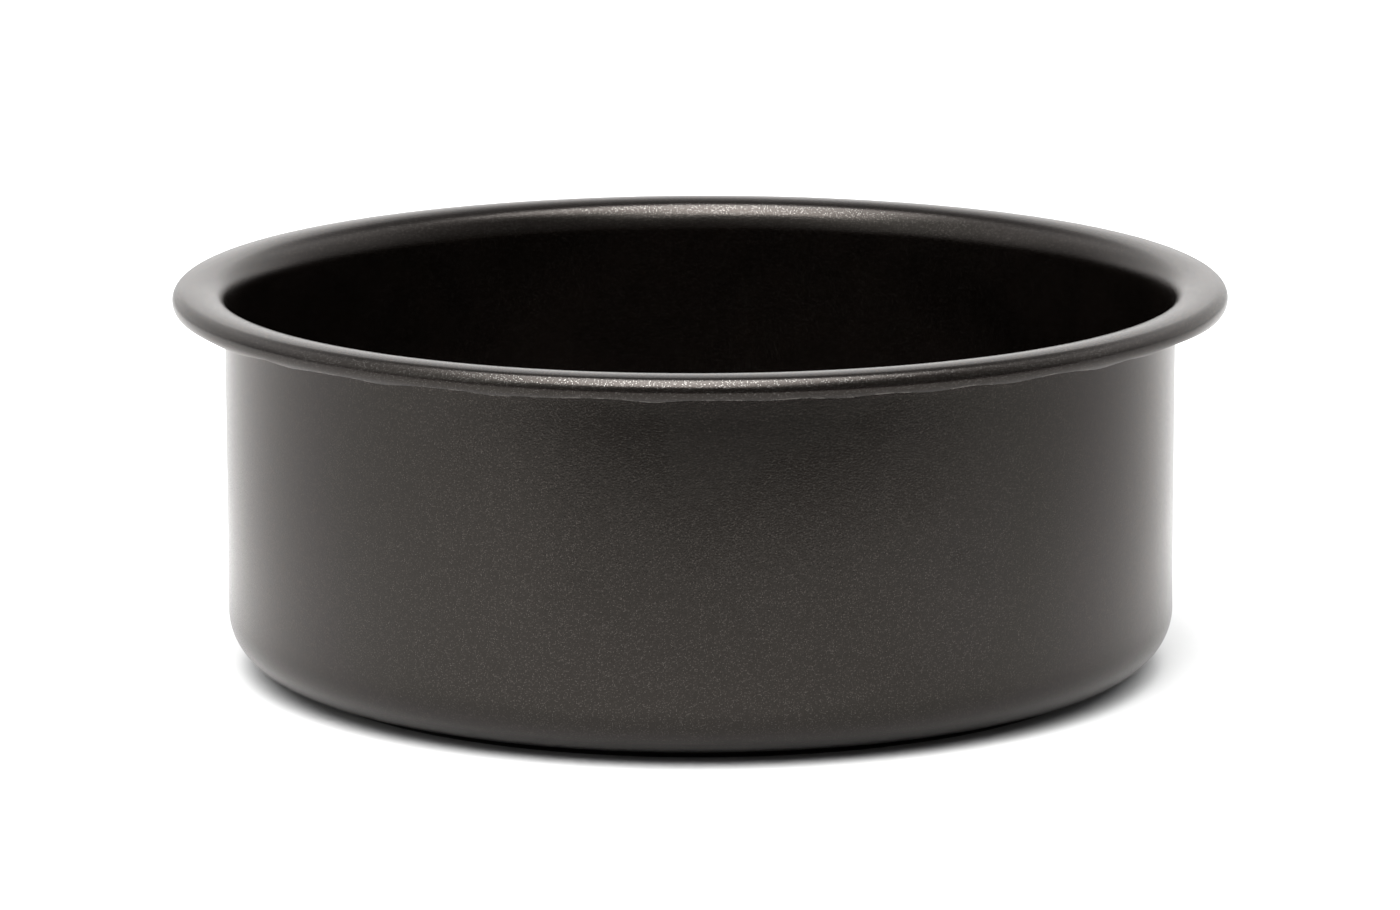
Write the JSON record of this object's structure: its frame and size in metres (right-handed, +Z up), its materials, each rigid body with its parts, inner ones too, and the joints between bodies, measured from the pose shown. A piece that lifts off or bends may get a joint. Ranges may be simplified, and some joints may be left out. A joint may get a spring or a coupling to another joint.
{
  "type": "baking pan",
  "caption": "Deep round baking pan with a straight wall, rounded foot, rolled rim and a loose push-up base plate, in a dark satin coating.",
  "frame": {"origin": "centre of the plane the pan stands on, under the ledge", "axes": "+Z up along the pan's axis, the way the base plate lifts; +X and +Y across the mouth"},
  "size_m": [0.2236, 0.2236, 0.0825],
  "materials": {
    "ring_coat": "dark brown-black satin non-stick coating on sheet steel, fine sprayed grain",
    "base_coat": "dark brown-black satin non-stick coating on sheet steel, fine sprayed grain"
  },
  "bodies": {
    "pan": {"pan_ring": "ring_coat"},
    "base": {"loose_base": "base_coat"}
  },
  "joints": [
    {"name": "base_lift", "type": "slide", "parent": "pan", "child": "base", "axis": [0, 0, 1], "range_m": [0, 0.1]}
  ]
}
